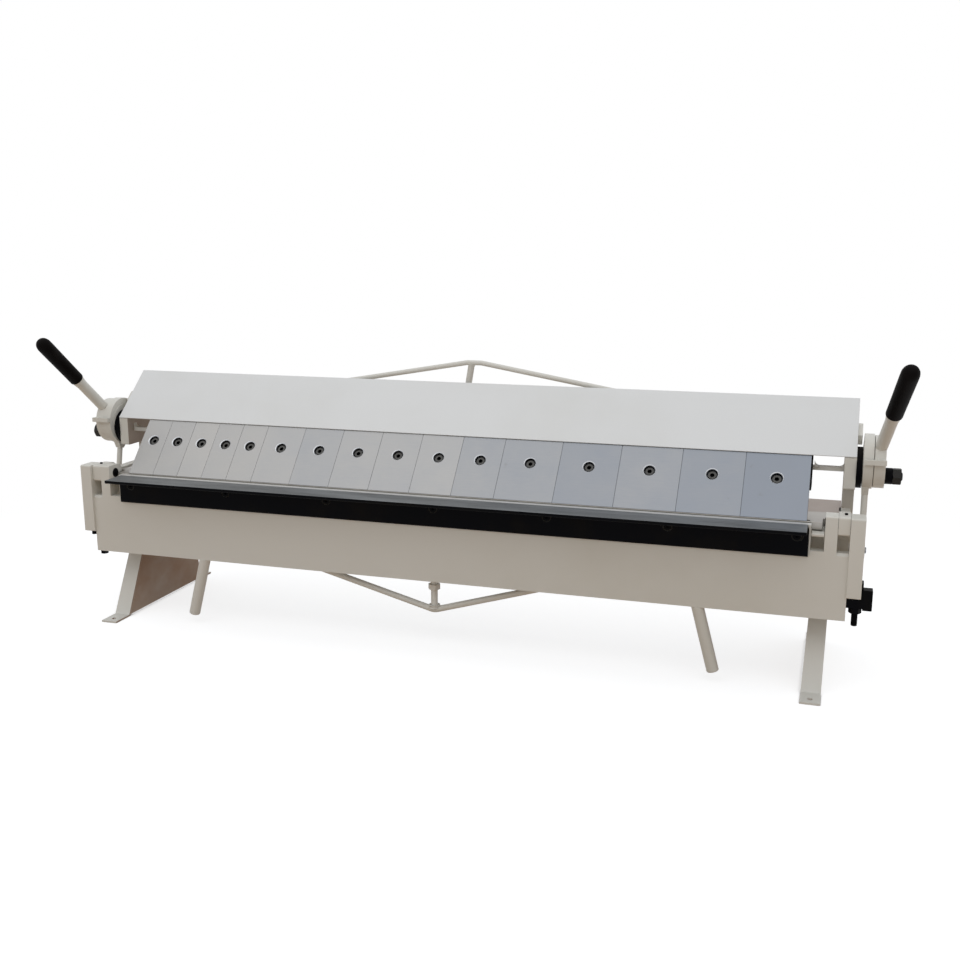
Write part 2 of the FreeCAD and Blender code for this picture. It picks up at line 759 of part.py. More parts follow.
def make_base():
    node("bed_plate", make_bed())
    node("bed_rail_front", box((-rail_half, rail_half), (20, 30), (rail_bottom, -bed_thickness)))
    node("bed_rail_rear", box((-rail_half, rail_half), (140, 150), (rail_bottom, -bed_thickness)))
    ribs = [box((x - 4, x + 4), (30, 140), (-45, -bed_thickness)) for x in (-400, -200, 0, 200, 400)]
    node("bed_ribs", *ribs)
    pair("hinge_block", make_hinge_block())
    pair("leg", make_leg())
    both_ends("hinge_pins", bar_x(636.5, 694.0, (0, 0), pin_radius))
    stud = bar_x(leg_x[0] + sheet, plate_x[0] - 0.3, beam_pivot, 18.0)
    stud = stud.fuse([bar_x(leg_x[0] - 8, leg_x[0] + sheet, beam_pivot, 7.0),
                      bar_x(plate_x[0] - 0.3, 682.4, beam_pivot, journal_radius),
                      bar_x(682.4, 694.0, beam_pivot, 6.0)])
    both_ends("pivot_studs", stud.removeSplitter())
    nut = hex_nut(Vector(682.4, *beam_pivot), Vector(1, 0, 0), 24.0, 10.0, 6.05)
    both_ends("pivot_nuts", nut)
    pin = bar_x(tongue[0] - 3, neck_x[1] + 2.5, anchor, anchor_radius)
    pin = pin.fuse(bar_x(tongue[1], neck_x[0] - 1, anchor, 9.0))
    both_ends("anchor_pins", pin.removeSplitter())
    bolts = []
    for number, (x, y) in enumerate(block_bolt_places()):
        seat = Vector(x, y, block_bottom - (sheet if number else 0))
        bolts.append(hex_bolt(seat, Vector(0, 0, 1), 17.0, 6.5, 5.0, 68.0))
    both_ends("leg_bolts", *bolts)


def main():
    os.makedirs("parts", exist_ok=True)
    make_base()
    make_apron()
    make_beam()
    make_clamps()
    print(len(bodies), "nodes,", sum(len(shape.Solids) for shape in bodies.values()), "solids")


main()
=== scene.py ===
import json
import math
import random

import bmesh
import bpy
from mathutils import Matrix, Vector

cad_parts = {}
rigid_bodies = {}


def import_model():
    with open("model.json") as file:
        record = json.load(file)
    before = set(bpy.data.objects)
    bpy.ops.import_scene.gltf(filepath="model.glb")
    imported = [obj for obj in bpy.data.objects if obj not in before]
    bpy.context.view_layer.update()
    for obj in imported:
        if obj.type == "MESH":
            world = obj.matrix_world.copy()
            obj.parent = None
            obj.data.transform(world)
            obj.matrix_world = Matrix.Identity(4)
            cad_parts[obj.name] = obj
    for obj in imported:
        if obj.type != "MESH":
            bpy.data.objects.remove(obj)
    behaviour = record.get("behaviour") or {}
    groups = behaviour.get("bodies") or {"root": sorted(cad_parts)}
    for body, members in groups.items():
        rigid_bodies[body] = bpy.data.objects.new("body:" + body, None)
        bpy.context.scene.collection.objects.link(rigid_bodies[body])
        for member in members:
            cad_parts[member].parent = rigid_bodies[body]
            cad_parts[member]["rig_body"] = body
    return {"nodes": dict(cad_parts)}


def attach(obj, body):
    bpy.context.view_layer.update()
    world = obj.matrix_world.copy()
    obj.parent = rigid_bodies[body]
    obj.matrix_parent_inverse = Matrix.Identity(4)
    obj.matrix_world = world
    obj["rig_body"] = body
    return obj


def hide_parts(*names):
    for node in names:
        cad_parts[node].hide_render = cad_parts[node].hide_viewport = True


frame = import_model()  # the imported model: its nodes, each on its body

# Metres, in the frame of the imported model: X along the machine, the operator at -Y, Z up,
# the origin in the middle of the four bench bolts. Object coordinates are the same thing,
# because every finished piece keeps its place in its mesh.

for startupName in ("Cube", "Light", "Camera"):
    if startupName in bpy.data.objects:
        bpy.data.objects.remove(bpy.data.objects[startupName])
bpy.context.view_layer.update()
mm = 0.001
hingeAxis = Vector((0, -0.106, 0.275))  # the apron turns about this line, level with the bed top


def srgb(red, green, blue):
    # screen values 0 to 255 as the linear colour a shader wants
    def linear(level):
        level /= 255
        return level / 12.92 if level <= 0.04045 else ((level + 0.055) / 1.055) ** 2.4
    return (linear(red), linear(green), linear(blue), 1.0)


# Shader and node helpers

class Link:
    # One output of a node, wrapped so that sums on it add Math nodes.
    def __init__(self, tree, out):
        self.tree = tree
        self.out = out

    def node(self, kind, settings=None, inputs=None, output=0):
        made = self.tree.nodes.new(kind)
        for name, value in (settings or {}).items():
            setattr(made, name, value)
        for name, value in (inputs or {}).items():
            for part in value if isinstance(value, list) else [value]:
                if isinstance(part, Link):
                    self.tree.links.new(part.out, made.inputs[name])
                else:
                    made.inputs[name].default_value = part
        return Link(self.tree, made.outputs[output] if made.outputs else None)

    def other(self, name):
        # another output of the same node
        return Link(self.tree, self.out.node.outputs[name])

    def sum(self, operation, first, second=0.0):
        return self.node("ShaderNodeMath", {"operation": operation}, {0: first, 1: second})

    def __add__(self, other):
        return self.sum("ADD", self, other)

    def __radd__(self, other):
        return self.sum("ADD", other, self)

    def __sub__(self, other):
        return self.sum("SUBTRACT", self, other)

    def __rsub__(self, other):
        return self.sum("SUBTRACT", other, self)

    def __mul__(self, other):
        return self.sum("MULTIPLY", self, other)

    def __rmul__(self, other):
        return self.sum("MULTIPLY", other, self)

    def __truediv__(self, other):
        return self.sum("DIVIDE", self, other)

    def clamped(self, low, high):
        # 0 at low, 1 at high and smooth between
        return self.node("ShaderNodeMapRange", {"interpolation_type": "SMOOTHSTEP"},
                         {"Value": self, "From Min": low, "From Max": high})

    def mix(self, first, second):
        # this value picks between two colours
        return self.node("ShaderNodeMix", {"data_type": "RGBA"}, {0: self, 6: first, 7: second}, 2)

    def noise(self, scale, detail=2.0, roughness=0.5, stretch=(1, 1, 1)):
        place = self.node("ShaderNodeMapping", None, {"Vector": self, "Scale": stretch})
        return place.node("ShaderNodeTexNoise", None,
                          {"Vector": place, "Scale": scale, "Detail": detail, "Roughness": roughness})

    def attribute(self, name):
        # a number kept on the faces or points of the piece; 0 where it has none
        return self.node("ShaderNodeAttribute", {"attribute_name": name}, output=2)

    def along(self, axis):
        # one coordinate of a vector
        return self.node("ShaderNodeSeparateXYZ", None, {0: self}, axis)


def startFinish(name):
    # a new material, and the object coordinates that its patterns are laid on
    material = bpy.data.materials.new(name)
    material.use_nodes = True
    material.node_tree.nodes.clear()
    start = Link(material.node_tree, None)
    return material, start.node("ShaderNodeTexCoord", output=3)


def endFinish(place, colour, roughness, heights=(), **constants):
    # heights are (link, metres) for the bump; the rest are shader sockets by name
    normal = None
    for height, distance in heights:
        sockets = {"Height": height, "Distance": distance, "Strength": 1.0}
        if normal:
            sockets["Normal"] = normal
        normal = place.node("ShaderNodeBump", None, sockets)
    sockets = {"Base Color": colour, "Roughness": roughness}
    if normal:
        sockets["Normal"] = normal
    sockets.update({name.replace("_", " "): value for name, value in constants.items()})
    shader = place.node("ShaderNodeBsdfPrincipled", None, sockets)
    place.node("ShaderNodeOutputMaterial", None, {"Surface": shader})


# Finishes

paintLook = {
    "colour": srgb(216, 213, 204),
    "aged": srgb(203, 198, 185),
    "roughness": 0.44,
    "peel": 0.00004,  # depth of the orange peel
    "wave": 0.0006,  # slow unevenness of the sheet
    # brown painted shade for the faces that look towards the middle
    "dust": srgb(150, 120, 97),
    "ground": srgb(220, 222, 226),
    "groundHalf": 617.0 * mm,  # the bare edge runs this far each way along the machine
    "groundEdge": (0.5 * mm, 0.2 * mm),  # it starts and is full this far under the height given
    "groundMetal": 0.6,
}


def makePaint(name, look, groundFrom=None):
    # enamel with a faint orange peel, and brown painted shade on the faces the piece marks;
    # above groundFrom the metal is bare and ground
    material, place = startFinish(name)
    cloud = place.noise(3.0, 4.0, 0.55)
    speck = place.noise(190.0, 2.0, 0.6)
    peel = place.noise(420.0, 1.0)
    aged = (cloud.clamped(0.42, 0.72) * 0.5) + (speck.clamped(0.62, 0.8) * 0.15)
    colour = aged.mix(look["colour"], look["aged"])
    roughness = cloud * 0.16 + (look["roughness"] - 0.08)
    metal = 0.0
    # brown painted shade on the marked faces, uneven across them, also a little rougher
    drift = place.noise(9.0, 4.0, 0.6, (1, 0.6, 1)).clamped(0.2, 0.7)
    dust = place.attribute("dust") * (drift * 0.35 + 0.65)
    colour = dust.mix(colour, look["dust"])
    roughness = roughness + dust * 0.25
    if groundFrom:
        lines = place.noise(700.0, 3.0, 0.7, (0.01, 1, 1))
        start, full = look["groundEdge"]
        metal = place.along(2).clamped(groundFrom - start, groundFrom - full)
        across = place.along(0)
        within = metal.sum("LESS_THAN", across.sum("ABSOLUTE", across), look["groundHalf"])
        metal = metal * within * look["groundMetal"]
        colour = (metal * 1.66).mix(colour, (lines * 0.5 + 0.25).mix(look["ground"], look["aged"]))
        roughness = roughness - metal * 0.12
    endFinish(place, colour, roughness,
              [(place.noise(5.0, 1.0), look["wave"]), (peel, look["peel"])],
              Metallic=metal, Coat_Roughness=0.25)
    return material


steelLook = {
    "bright": srgb(164, 162, 159),
    "dull": srgb(122, 127, 135),
    "spot": srgb(112, 109, 103),  # thin oil stains
    "bare": srgb(208, 210, 214),  # painted highlight on the counterbores' chamfers
    "roughness": 0.40,
    "grain": 0.000006,  # depth of the grinding lines
    "bands": [],
}


def makeSteel(name, look):
    # ground steel: fine lines along the machine, slow clouding and a few dull spots
    material, place = startFinish(name)
    lines = place.noise(1400.0, 3.0, 0.7, (0.02, 1, 1))
    cloud = place.noise(11.0, 4.0, 0.6)
    stain = place.noise(38.0, 5.0, 0.65).clamped(0.66, 0.82)
    # each finger's random tone, less a painted reflection that darkens the fingers towards the right
    shade = lines * 0.25 + cloud * 0.4 + place.attribute("tint") + 0.18
    colour = shade.clamped(0.0, 1.0).mix(look["dull"], look["bright"])
    colour = (stain * 0.5).mix(colour, look["spot"])
    for low, high, shown in look["bands"]:
        # from one Y to the other the surface turns to the colour given
        edge = (cloud - 0.5) * (high - low) * 2.0 + place.along(1)
        colour = edge.clamped(low, high).mix(colour, shown)
    # a painted highlight on the faces marked bare
    colour = place.attribute("bare").mix(colour, look["bare"])
    roughness = lines * 0.10 + cloud * 0.16 + stain * 0.1 + (look["roughness"] - 0.12)
    endFinish(place, colour, roughness, [(lines, look["grain"])], Metallic=1.0)
    return material


bedLook = dict(
    steelLook,
    bright=srgb(168, 165, 160),
    dull=srgb(146, 142, 137),
    roughness=0.34,
    bands=[
        # Y where the change starts, Y where it ends, the colour beyond it
        (-95.0 * mm, -94.0 * mm, srgb(158, 154, 149)),
        # brown painted reflection of the dark parts above, on the bed top behind this line
        (-40.0 * mm, -31.0 * mm, srgb(129, 113, 102)),
    ],
)


darkLook = {
    "colour": srgb(5, 5, 8),
    "brown": srgb(17, 15, 14),
    "ground": srgb(158, 162, 165),
    "bare": srgb(106, 105, 102),  # painted highlight on screw heads and nut flanks; bare turned metal in the angle's countersinks
    "roughness": 0.46,
    "grit": 0.00003,
    "groundEdge": (0.3 * mm, 0.1 * mm),  # as for the paint
}


def makeDark(name, look, groundFrom=None):
    # oiled black oxide, browner in patches; above groundFrom it is rubbed to grey metal
    material, place = startFinish(name)
    patch = place.noise(14.0, 5.0, 0.6)
    grit = place.noise(700.0, 2.0)
    colour = patch.clamped(0.45, 0.72).mix(look["colour"], look["brown"])
    # painted highlight on marked head and nut faces, and bare metal in the angle's countersinks
    colour = (place.attribute("bare") * (patch * 0.6 + 0.6)).mix(colour, look["bare"])
    roughness = patch * 0.3 + grit * 0.1 + (look["roughness"] - 0.2)
    metal = 0.0
    if groundFrom:
        lines = place.noise(600.0, 3.0, 0.7, (0.012, 1, 1))
        worn = lines * 0.4 + place.noise(30.0, 4.0, 0.6, (0.2, 1, 1)) * 0.4
        start, full = look["groundEdge"]
        metal = place.along(2).clamped(groundFrom - start, groundFrom - full)
        colour = metal.mix(colour, worn.clamped(0.1, 0.7).mix(look["brown"], look["ground"]))
    endFinish(place, colour, roughness, [(grit, look["grit"])], Metallic=metal,
              Specular_IOR_Level=0.04)
    return material


rubberLook = {
    "colour": srgb(9, 6, 5),
    "rubbed": srgb(22, 19, 18),
    "roughness": 0.55,
    "pores": 0.00008,
}


def makeRubber(name, look):
    material, place = startFinish(name)
    pores = place.noise(650.0, 3.0, 0.7)
    worn = place.noise(24.0, 3.0, 0.6)
    colour = worn.clamped(0.5, 0.78).mix(look["colour"], look["rubbed"])
    roughness = pores * 0.2 + (look["roughness"] - 0.1)
    endFinish(place, colour, roughness, [(pores, look["pores"])], Specular_IOR_Level=0.05)
    return material


# a lighter copy of the machine paint: painted light on the cover, which faces up
litCoverPaintLook = dict(paintLook, colour=srgb(223, 223, 221), aged=srgb(212, 211, 206))
finishes = {
    # material, and the record's slot
    "painted": (makePaint("machinePaint", paintLook), "grey_paint"),
    "coverPaint": (makePaint("coverPaint", litCoverPaintLook), "cover_paint"),
    "leafPaint": (makePaint("leafPaint", paintLook, hingeAxis.z), "grey_paint"),
    "ground": (makeSteel("fingerSteel", steelLook), "ground_steel"),
    "machined": (makeSteel("bedSteel", bedLook), "ground_steel"),
    "blackened": (makeDark("angleBlack", darkLook, hingeAxis.z), "angle_black"),
    "black": (makeDark("fastenerBlack", darkLook), "black_steel"),
    "plated": (makeSteel("platedSteel", dict(steelLook, roughness=0.34)), "plated_steel"),
    "rubber": (makeRubber("gripRubber", rubberLook), "grip_rubber"),
}
print("finishes:", len(finishes))


# Pieces that keep the CAD shape

weldDistance = 0.002 * mm
slack = 0.1 * mm  # for points that lie on a plane or radius of the solids
flatAngle = math.radians(0.4)
softAngle = math.radians(32)  # sharper edges are bevelled, or stay sharp on grown pieces
turnedAngle = math.radians(40)  # the same for turned pieces
done = set()  # CAD nodes that a piece stands for
sides = ((1, "right"), (-1, "left"))


def newObject(name, data):
    made = bpy.data.objects.new(name, data)
    bpy.context.scene.collection.objects.link(made)
    return made


def addPiece(name, mesh, finish, node, standsFor=True, slot=None):
    # a finished piece at the origin, on the body of a CAD node, which it stands for or not
    piece = newObject(name, mesh)
    material, usualSlot = finishes[finish]
    mesh.materials.clear()
    mesh.materials.append(material)
    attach(piece, frame["nodes"][node]["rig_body"])
    slot or usualSlot
    if standsFor:
        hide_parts(node)
        done.add(node)
    return piece


def joinedShape(name):
    # the CAD node's triangles joined up
    shape = bmesh.new()
    shape.from_mesh(frame["nodes"][name].data)
    bmesh.ops.remove_doubles(shape, verts=shape.verts, dist=weldDistance)
    return shape


def mergedShape(name):
    # a CAD node with its flat faces made whole, and layers for the finish's numbers
    shape = joinedShape(name)
    for title in ("bare", "tint", "dust"):
        shape.faces.layers.float.new(title)
    bmesh.ops.dissolve_limit(shape, angle_limit=flatAngle, verts=shape.verts, edges=shape.edges)
    return shape


def markFaces(shape, name, chosen, value=1.0):
    # a number for the finish on the faces chosen
    layer = shape.faces.layers.float[name]
    for face in chosen:
        face[layer] = value


def finishShape(name, shape):
    for face in shape.faces:
        face.smooth = True
    for edge in shape.edges:
        edge.smooth = True
    mesh = bpy.data.meshes.new(name)
    shape.to_mesh(mesh)
    shape.free()
    if "custom_normal" in mesh.attributes:
        mesh.attributes.remove(mesh.attributes["custom_normal"])
    return mesh


def softenEdges(piece, width, segments=2):
    bevel = piece.modifiers.new("edges", "BEVEL")
    bevel.width = width
    bevel.segments = segments
    bevel.limit_method = "ANGLE"
    bevel.angle_limit = softAngle
    bevel.harden_normals = True
    bevel.use_clamp_overlap = True


def dress(name, finish, edge, change=None, slot=None):
    # the node's own shape in a finish; change may work on it first
    shape = mergedShape(name)
    if change:
        change(shape)
    piece = addPiece(name + "_" + finish, finishShape(name, shape), finish, name, slot=slot)
    softenEdges(piece, edge)


def named(*patterns):
    found = []
    for pattern in patterns:
        found += [name for name in sorted(frame["nodes"]) if name.startswith(pattern)]
    return found


fingerLook = {
    "seed": 11,
    "spread": 0.09,  # how far the fingers differ in shade
    "fallLeft": 0.3,  # painted reflection: shade lost per metre towards the right, up to the turn
    "fallRight": 0.8,  # and past it
    "turn": 50.0 * mm,  # X where the two meet
    "edge": 0.35 * mm,
    "nose": (-103.8 * mm, 275.3 * mm),  # Y and Z of the sharp lower edge
    "noseRound": 3.0 * mm,  # the solid's corner, drawn in to that edge
    "top": 110.0 * mm,  # points farther up the face than this move up
    "rise": 5.5 * mm,  # until the cover hides them
    "lean": 48.5,  # slope of the face, degrees from level
    "boreMouth": (-55.17 * mm, 330.5 * mm),  # Y and Z of the counterbores' mouths
    "screwUp": 73.7 * mm,  # their distance up the face
    "bore": 8.75 * mm,
    "boreSlack": 0.15 * mm,
    "mouthSlack": 0.3 * mm,
    "boreShown": 9.4 * mm,
    "chamfer": 1.3 * mm,
}
fingers = [name for name in named("finger_") if name[-2:].isdigit()]


def middleOf(name):
    corners = [Vector(corner) for corner in frame["nodes"][name].bound_box]
    return sum(corners, Vector()) / 8


def faceAxis(look):
    # square out of the fingers' face
    lean = math.radians(look["lean"])
    return Vector((0, -math.sin(lean), math.cos(lean)))


def settle(shape):
    # a fixed order for the mesh, because bevel's own changes from run to run
    def corners(part):
        return sorted(tuple(vertex.co) for vertex in part.verts)

    for place, vertex in enumerate(sorted(shape.verts, key=lambda vertex: tuple(vertex.co))):
        vertex.index = place
    shape.verts.sort()
    for parts in (shape.edges, shape.faces):
        for place, part in enumerate(sorted(parts, key=corners)):
            part.index = place
        parts.sort()


def dressFingers(look):
    shades = random.Random(look["seed"])
    out = faceAxis(look)
    up = out.cross(Vector((1, 0, 0)))
    noseY, noseZ = look["nose"]
    for name in fingers:
        mouth = Vector((middleOf(name).x, *look["boreMouth"]))
        along = mouth.x - look["turn"]
        reflectionFall = look["fallRight"] if along > 0 else look["fallLeft"]
        # a random tone, less a painted reflection that darkens the fingers towards the right
        value = shades.uniform(-1, 1) * look["spread"] - along * reflectionFall

        def shapeFinger(shape):
            ring = []
            for vertex in shape.verts:
                offset = vertex.co - mouth
                depth = offset.dot(out)
                radial = offset - out * depth
                if abs(radial.length - look["bore"]) < look["boreSlack"]:
                    vertex.co += radial * (look["boreShown"] / look["bore"] - 1)
                    if abs(depth) < look["mouthSlack"]:
                        ring.append(vertex)
                elif vertex.co.y < noseY + look["noseRound"] and vertex.co.z < noseZ + look["noseRound"]:
                    vertex.co.yz = look["nose"]
                elif offset.dot(up) > look["top"] - look["screwUp"]:
                    vertex.co += up * look["rise"]
            mouthEdges = [edge for edge in shape.edges if all(vertex in ring for vertex in edge.verts)]
            cut = bmesh.ops.bevel(shape, geom=mouthEdges, offset=look["chamfer"], segments=1,
                                  affect="EDGES")
            # the chamfers get a painted highlight
            markFaces(shape, "bare", cut["faces"])
            markFaces(shape, "tint", shape.faces, value)
            bmesh.ops.remove_doubles(shape, verts=shape.verts, dist=weldDistance)
            settle(shape)

        dress(name, "ground", look["edge"], shapeFinger)


dressFingers(fingerLook)
print("fingers:", len(fingers))


# Pieces grown with Geometry Nodes

def newTree(name, **sizes):
    # a tree with a named input for each size; gives the inputs as links
    tree = bpy.data.node_groups.new(name, "GeometryNodeTree")
    tree.interface.new_socket("seats", in_out="INPUT", socket_type="NodeSocketGeometry")
    tree.interface.new_socket("shape", in_out="OUTPUT", socket_type="NodeSocketGeometry")
    tree.interface.new_socket("finish", in_out="INPUT", socket_type="NodeSocketMaterial")
    for title, value in sizes.items():
        kind = "NodeSocketInt" if isinstance(value, int) else "NodeSocketFloat"
        tree.interface.new_socket(title, in_out="INPUT", socket_type=kind).default_value = value
    start = tree.nodes.new("NodeGroupInput")
    return tree, {socket.name: Link(tree, socket) for socket in start.outputs if socket.name}


def endTree(shape, given):
    placed = shape.node("GeometryNodeRealizeInstances", None, {"Geometry": shape})
    covered = placed.node("GeometryNodeSetMaterial", None,
                          {"Geometry": placed, "Material": given["finish"]})
    covered.node("NodeGroupOutput", None, {"shape": covered})


def grow(name, tree, seats, paths, sizes, finish, node, standsFor=True):
    # seats are (place, axis, side); paths are lists of places joined by edges
    places = [seat[0] for seat in seats]
    edges = []
    for path in paths:
        first = len(places)
        places += path
        edges += [(first + index, first + (index + 1) % len(path)) for index in range(len(path))]
    mesh = bpy.data.meshes.new(name + "Seats")
    mesh.from_pydata(places, edges, [])
    for entry, title in ((1, "axis"), (2, "side")):
        values = [number for seat in seats for number in seat[entry]]
        values += [0.0] * (3 * len(places) - len(values))
        mesh.attributes.new(title, "FLOAT_VECTOR", "POINT").data.foreach_set("vector", values)
    carrier = newObject(name + "Seats", mesh)
    modifier = carrier.modifiers.new("grow", "NODES")
    modifier.node_group = tree
    for socket in tree.interface.items_tree:
        if socket.name in sizes:
            modifier[socket.identifier] = sizes[socket.name]
        elif socket.name == "finish":
            modifier[socket.identifier] = finishes[finish][0]
    ready = carrier.evaluated_get(bpy.context.evaluated_depsgraph_get())
    grown = bpy.data.meshes.new_from_object(ready)
    bpy.data.objects.remove(carrier)
    grown.shade_smooth()
    grown.set_sharp_from_angle(angle=softAngle)
    addPiece(name, grown, finish, node, standsFor)


def seatTurn(start):
    # the turn that sets Z along a seat's axis and X along its side
    def attribute(title):
        return start.node("GeometryNodeInputNamedAttribute", {"data_type": "FLOAT_VECTOR"},
                          {"Name": title})
    upright = start.node("FunctionNodeAlignRotationToVector", {"axis": "Z"},
                         {"Vector": attribute("axis")})
    return upright.node("FunctionNodeAlignRotationToVector", {"axis": "X", "pivot_axis": "Z"},
                        {"Rotation": upright, "Vector": attribute("side")})


capped = {"fill_type": "NGON"}  # the ends of a cylinder or cone


def raised(shape, height):
    lift = shape.node("ShaderNodeCombineXYZ", None, {"Z": height})
    return shape.node("GeometryNodeTransform", None, {"Geometry": shape, "Translation": lift})


def makeHeadTree():
    # A turned or hexagonal head or nut: a prism cut by a cone at each end, with a hole or socket.
    tree, given = newTree("headTree", sides=6, radius=9.8 * mm, height=8 * mm, faceRadius=8.2 * mm,
                          seatRadius=8.2 * mm, flare=1.7, holeSides=24, holeRadius=5 * mm,
                          holeDepth=9 * mm, shankRadius=3 * mm, shankLength=1 * mm, rollSpread=0.0,
                          seed=1, bareFrom=0.6, bareLow=2.0, bareHigh=3.0, bareShare=1.0)
    past = 0.1  # the parts that are cut run this share of the height past its ends
    start = given["seats"]
    height = given["height"]
    prism = start.node("GeometryNodeMeshCylinder", capped, {
        "Vertices": given["sides"], "Radius": given["radius"], "Depth": height * (1 + 2 * past)})
    upper = start.node("GeometryNodeMeshCone", capped, {
        "Vertices": 64, "Radius Top": given["faceRadius"], "Depth": height * (1 + past),
        "Radius Bottom": given["faceRadius"] + height * given["flare"] * (1 + past)})
    lower = start.node("GeometryNodeMeshCone", capped, {
        "Vertices": 64, "Radius Bottom": given["seatRadius"], "Depth": height * (1 + past),
        "Radius Top": given["seatRadius"] + height * given["flare"] * (1 + past)})
    parts = [raised(prism, height * 0.5), raised(upper, height * -past), lower]
    body = start.node("GeometryNodeMeshBoolean", {"operation": "INTERSECT"}, {"Mesh 2": parts})
    hole = start.node("GeometryNodeMeshCylinder", capped, {
        "Vertices": given["holeSides"], "Radius": given["holeRadius"], "Depth": given["holeDepth"] * 2.0})
    body = start.node("GeometryNodeMeshBoolean", {"operation": "DIFFERENCE"},
                      {"Mesh 1": body, "Mesh 2": raised(hole, height)})
    # faces near the top that point up by the given amounts get a painted highlight
    level = start.node("GeometryNodeInputPosition").along(2)
    upward = start.node("GeometryNodeInputNormal").along(2)
    rubbed = (level.sum("GREATER_THAN", level, height * given["bareFrom"])
              * level.sum("GREATER_THAN", upward, given["bareLow"])
              * level.sum("LESS_THAN", upward, given["bareHigh"]) * given["bareShare"])
    body = start.node("GeometryNodeStoreNamedAttribute", {"data_type": "FLOAT", "domain": "FACE"},
                      {"Geometry": body, "Name": "bare", "Value": rubbed})
    shank = start.node("GeometryNodeMeshCylinder", capped, {
        "Vertices": 24, "Radius": given["shankRadius"], "Depth": given["shankLength"]})
    shank = raised(shank, given["shankLength"] * -0.5 + 0.2 * mm)  # a little way into the head
    wanted = start.node("FunctionNodeCompare", {"operation": "GREATER_THAN"},
                        {0: given["shankLength"], 1: 0.0})
    shank = start.node("GeometryNodeSwitch", {"input_type": "GEOMETRY"},
                       {"Switch": wanted, "True": shank})
    whole = start.node("GeometryNodeJoinGeometry", None, {"Geometry": [body, shank]})
    roll = start.node("FunctionNodeRandomValue", {"data_type": "FLOAT"},
                      {2: 0.0, 3: given["rollSpread"], "Seed": given["seed"]}, 1)
    spin = start.node("ShaderNodeCombineXYZ", None, {"Z": roll})
    spin = start.node("FunctionNodeEulerToRotation", None, {0: spin})
    turn = start.node("FunctionNodeRotateRotation", {"rotation_space": "LOCAL"},
                      {"Rotation": seatTurn(start), "Rotate By": spin})
    endTree(start.node("GeometryNodeInstanceOnPoints", None,
                       {"Points": start, "Instance": whole, "Rotation": turn}), given)
    return tree


def makeThreadTree():
    # A plain core with one round ridge wound on it.
    tree, given = newTree("threadTree", radius=5 * mm, pitch=1.5 * mm, depth=0.6 * mm, length=20 * mm)
    start = given["seats"]
    core = start.node("GeometryNodeMeshCylinder", capped, {
        "Vertices": 32, "Radius": given["radius"] - given["depth"] * 1.15, "Depth": given["length"]})
    ridge = start.node("GeometryNodeCurveSpiral", None, {
        "Resolution": 24, "Rotations": given["length"] / given["pitch"] - 1.2, "Reverse": False,
        "Start Radius": given["radius"] - given["depth"], "End Radius": given["radius"] - given["depth"],
        "Height": given["length"] - given["pitch"] * 1.2})
    section = start.node("GeometryNodeCurvePrimitiveCircle", None,
                         {"Resolution": 5, "Radius": given["depth"]})
    wound = ridge.node("GeometryNodeCurveToMesh", None,
                       {"Curve": ridge, "Profile Curve": section, "Scale": 1.0, "Fill Caps": True})
    whole = start.node("GeometryNodeJoinGeometry", None, {
        "Geometry": [raised(core, given["length"] * 0.5), raised(wound, given["pitch"] * 0.6)]})
    endTree(start.node("GeometryNodeInstanceOnPoints", None,
                       {"Points": start, "Instance": whole, "Rotation": seatTurn(start)}), given)
    return tree


def makeBeadTree():
    # A weld bead along each closed path, in overlapping ripples of uneven width.
    tree, given = newTree("beadTree", radius=1.8 * mm, ripple=0.16, step=0.8 * mm, seed=3)
    start = given["seats"]
    line = start.node("GeometryNodeMeshToCurve", None, {"Mesh": start})
    line = line.node("GeometryNodeResampleCurve", {"mode": "LENGTH"},
                     {"Curve": line, "Length": given["step"]})
    number = line.node("GeometryNodeInputIndex")
    wave = number.sum("SINE", number * 1.9)  # radians from step to step
    place = line.node("GeometryNodeInputPosition")
    uneven = place.node("ShaderNodeTexNoise", {"noise_dimensions": "4D"},
                        {"Vector": place, "W": given["seed"], "Scale": 160.0, "Detail": 1.0})
    width = given["radius"] * (1.0 + given["ripple"] * wave + given["ripple"] * (uneven * 4.0 - 2.0))
    section = start.node("GeometryNodeCurvePrimitiveCircle", None, {"Resolution": 10, "Radius": 1.0})
    bead = line.node("GeometryNodeCurveToMesh", None,
                     {"Curve": line, "Profile Curve": section, "Scale": width, "Fill Caps": True})
    endTree(bead, given)
    return tree


headTree = makeHeadTree()
threadTree = makeThreadTree()
beadTree = makeBeadTree()


fingerScrewLook = {
    "seat": (-46.93 * mm, 323.21 * mm), # Y and Z of the heads' seats
    "sizes": {"sides": 48, "radius": 7.6 * mm, "height": 6.8 * mm, "faceRadius": 7.0 * mm,
              "seatRadius": 7.4 * mm, "flare": 1.0, "holeSides": 6, "holeRadius": 4.0 * mm,
              "holeDepth": 5.0 * mm, "shankRadius": 5.0 * mm, "shankLength": 32.0 * mm,
              # the heads' top faces get a painted highlight
              "rollSpread": 2.0, "seed": 4, "bareLow": 0.9, "bareHigh": 1.1},
}


def makeFingerScrews(look):
    out = faceAxis(fingerLook)
    seats = [(Vector((middleOf(name).x, *look["seat"])), out, Vector((1, 0, 0))) for name in fingers]
    grow("finger_screws_capped", headTree, seats, [], look["sizes"], "black", "finger_screws")


